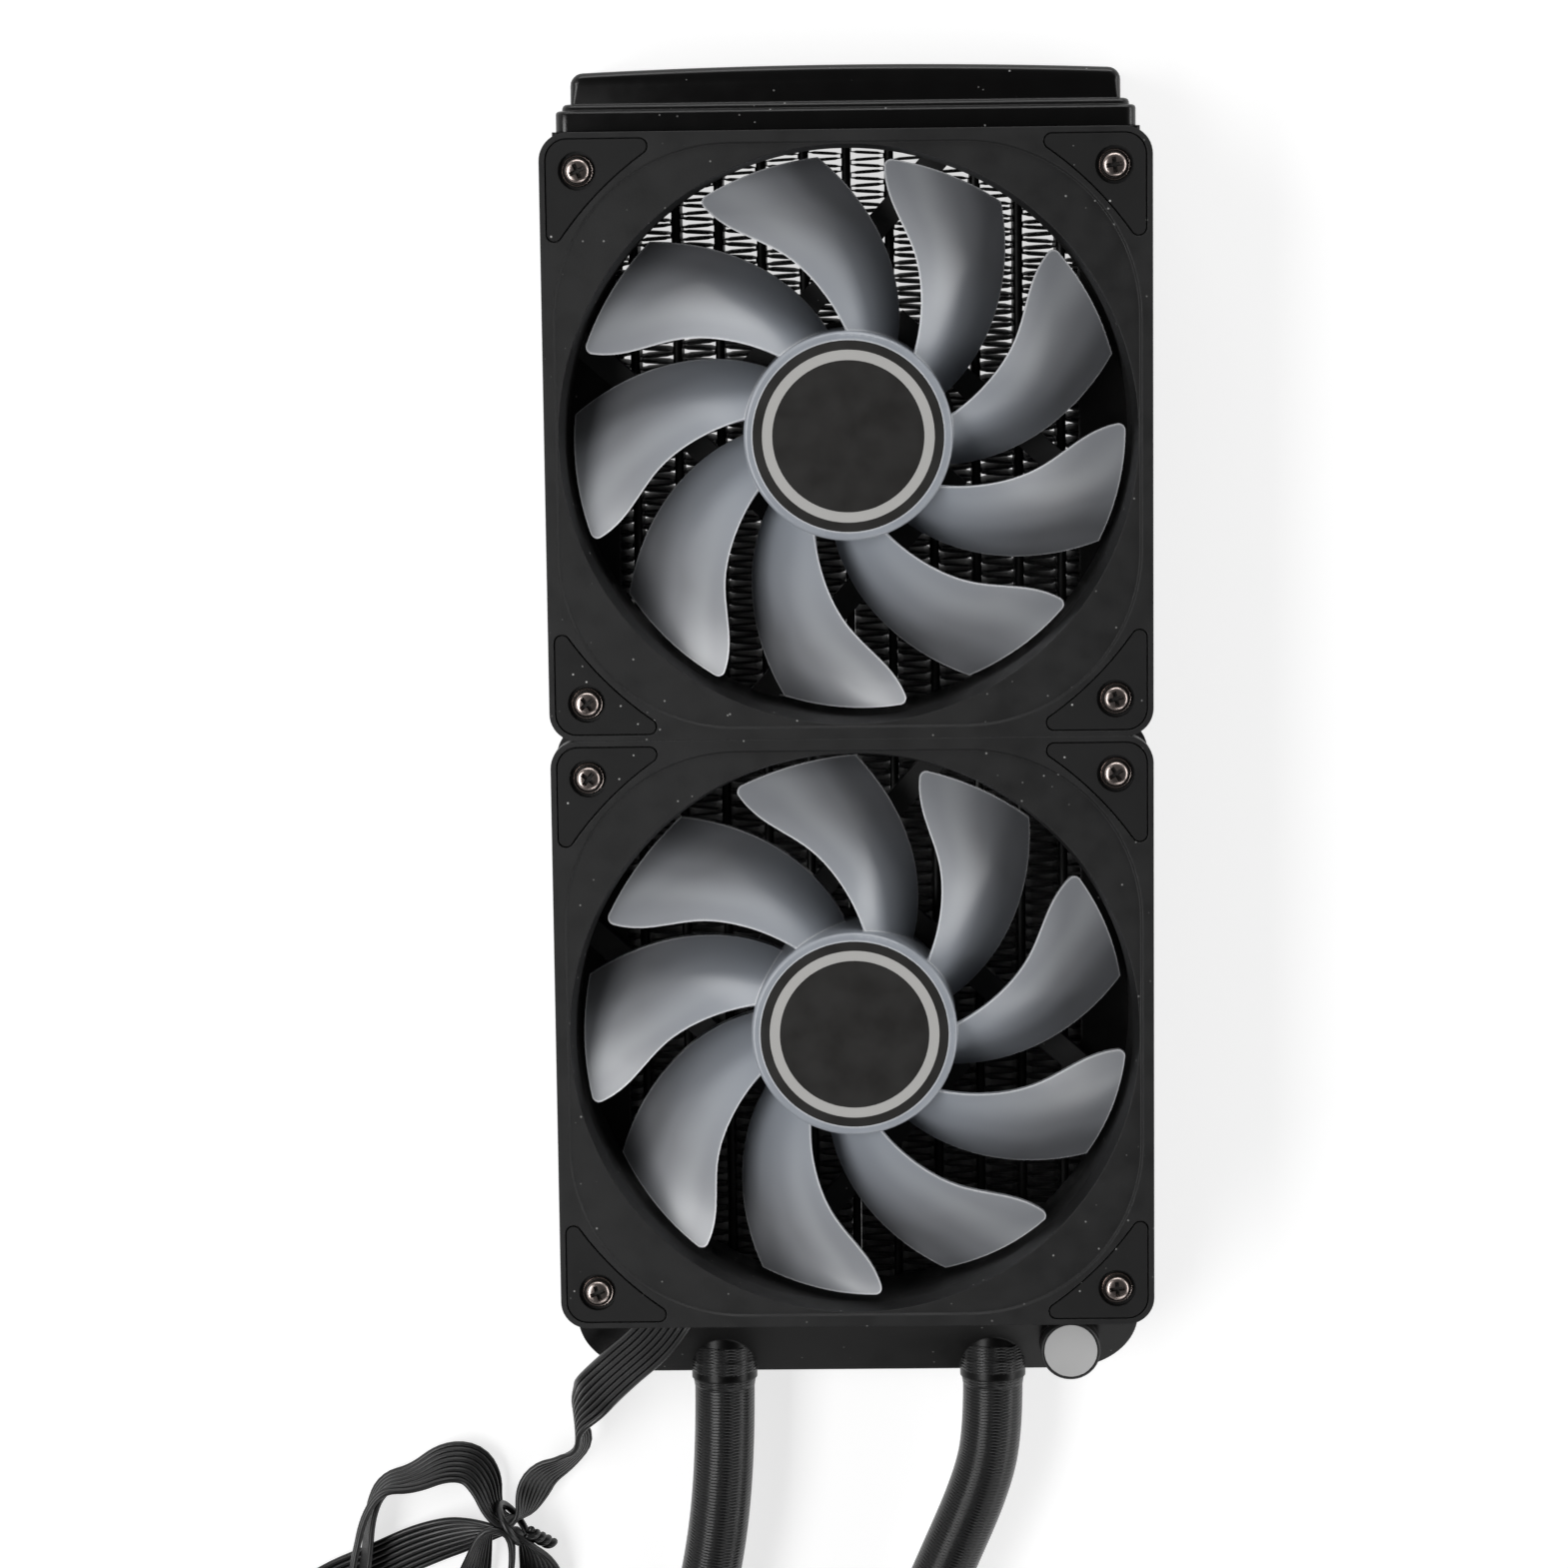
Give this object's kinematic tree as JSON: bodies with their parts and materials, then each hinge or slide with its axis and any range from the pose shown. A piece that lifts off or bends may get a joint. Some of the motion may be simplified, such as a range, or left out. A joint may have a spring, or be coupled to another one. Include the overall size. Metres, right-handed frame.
{
  "type": "all in one cpu liquid cooler",
  "caption": "Flat finned radiator with fans side by side on it, joined by hoses to a round pump block with a copper cold plate, for cooling a processor.",
  "frame": {"origin": "middle of the radiator's back face, between the outer case holes", "axes": "+X across the radiator, +Y along it to the plain end tank, +Z from its back to the fans"},
  "size_m": [0.1899, 0.6563, 0.053],
  "materials": {
    "black_core": "satin black paint",
    "black_metal": "satin black paint",
    "brass": "turned",
    "copper": "machined",
    "plain_steel": "plain",
    "dark_screw": "black nickel",
    "core_iron": "stamped",
    "magnet": "matt",
    "board": "lacquered",
    "fan_frame": "fine matt",
    "soft_pad": "matt",
    "soft_black": "matt",
    "smoky_blade": "frosted, see-through",
    "hub_label": "satin",
    "black_plastic": "fine matt",
    "pale_plastic": "plain",
    "hose_sleeve": "braided sleeve",
    "cable_black": "satin"
  },
  "bodies": {
    "chassis": {"core_tubes": "black_core", "core_fins": "black_core", "side_channel_left": "black_metal", "side_channel_right": "black_metal", "header_plate_top": "black_metal", "header_plate_bottom": "black_metal", "plain_end_tank": "black_metal", "port_end_tank": "black_metal", "radiator_barb_left": "brass", "radiator_barb_right": "brass", "fill_plug": "black_plastic", "fill_plug_seal": "soft_black", "cold_plate": "copper", "cold_plate_screws": "plain_steel", "pump_housing": "black_plastic", "pump_cover": "black_plastic", "pump_seal": "soft_black", "pump_shaft": "plain_steel", "pump_stator": "core_iron", "pump_circuit_board": "board", "mounting_bracket": "plain_steel", "pump_barb_left": "brass", "pump_barb_right": "brass", "hose_left": "hose_sleeve", "hose_right": "hose_sleeve", "fan_cable": "cable_black", "fan_cable_grommet": "soft_black", "cable_hank": "cable_black", "cable_tie": "cable_black", "cable_plug": "black_plastic", "upper_fan_frame": "fan_frame", "upper_pad_top_left": "soft_pad", "upper_pad_top_right": "soft_pad", "upper_pad_bottom_left": "soft_pad", "upper_pad_bottom_right": "soft_pad", "upper_fan_screws": "dark_screw", "upper_bearing": "brass", "upper_stator": "core_iron", "upper_coils": "copper", "upper_circuit_board": "board", "lower_fan_frame": "fan_frame", "lower_pad_top_left": "soft_pad", "lower_pad_top_right": "soft_pad", "lower_pad_bottom_left": "soft_pad", "lower_pad_bottom_right": "soft_pad", "lower_fan_screws": "dark_screw", "lower_bearing": "brass", "lower_stator": "core_iron", "lower_coils": "copper", "lower_circuit_board": "board"},
    "upper_rotor": {"upper_fan_rotor": "smoky_blade", "upper_hub_label": "hub_label", "upper_magnet_ring": "magnet", "upper_rotor_shaft": "plain_steel"},
    "lower_rotor": {"lower_fan_rotor": "smoky_blade", "lower_hub_label": "hub_label", "lower_magnet_ring": "magnet", "lower_rotor_shaft": "plain_steel"},
    "pump_rotor": {"pump_impeller": "pale_plastic", "impeller_magnet": "magnet"}
  },
  "joints": [
    {"name": "upper_rotor_spin", "type": "hinge", "parent": "chassis", "child": "upper_rotor", "pos_m": [0, 0.06, 0.03], "axis": [0, 0, 1], "continuous": true},
    {"name": "lower_rotor_spin", "type": "hinge", "parent": "chassis", "child": "lower_rotor", "pos_m": [0, -0.06, 0.03], "axis": [0, 0, 1], "continuous": true},
    {"name": "pump_impeller_spin", "type": "hinge", "parent": "chassis", "child": "pump_rotor", "pos_m": [-0.06, -0.48, 0.015], "axis": [0, 0, 1], "continuous": true}
  ]
}
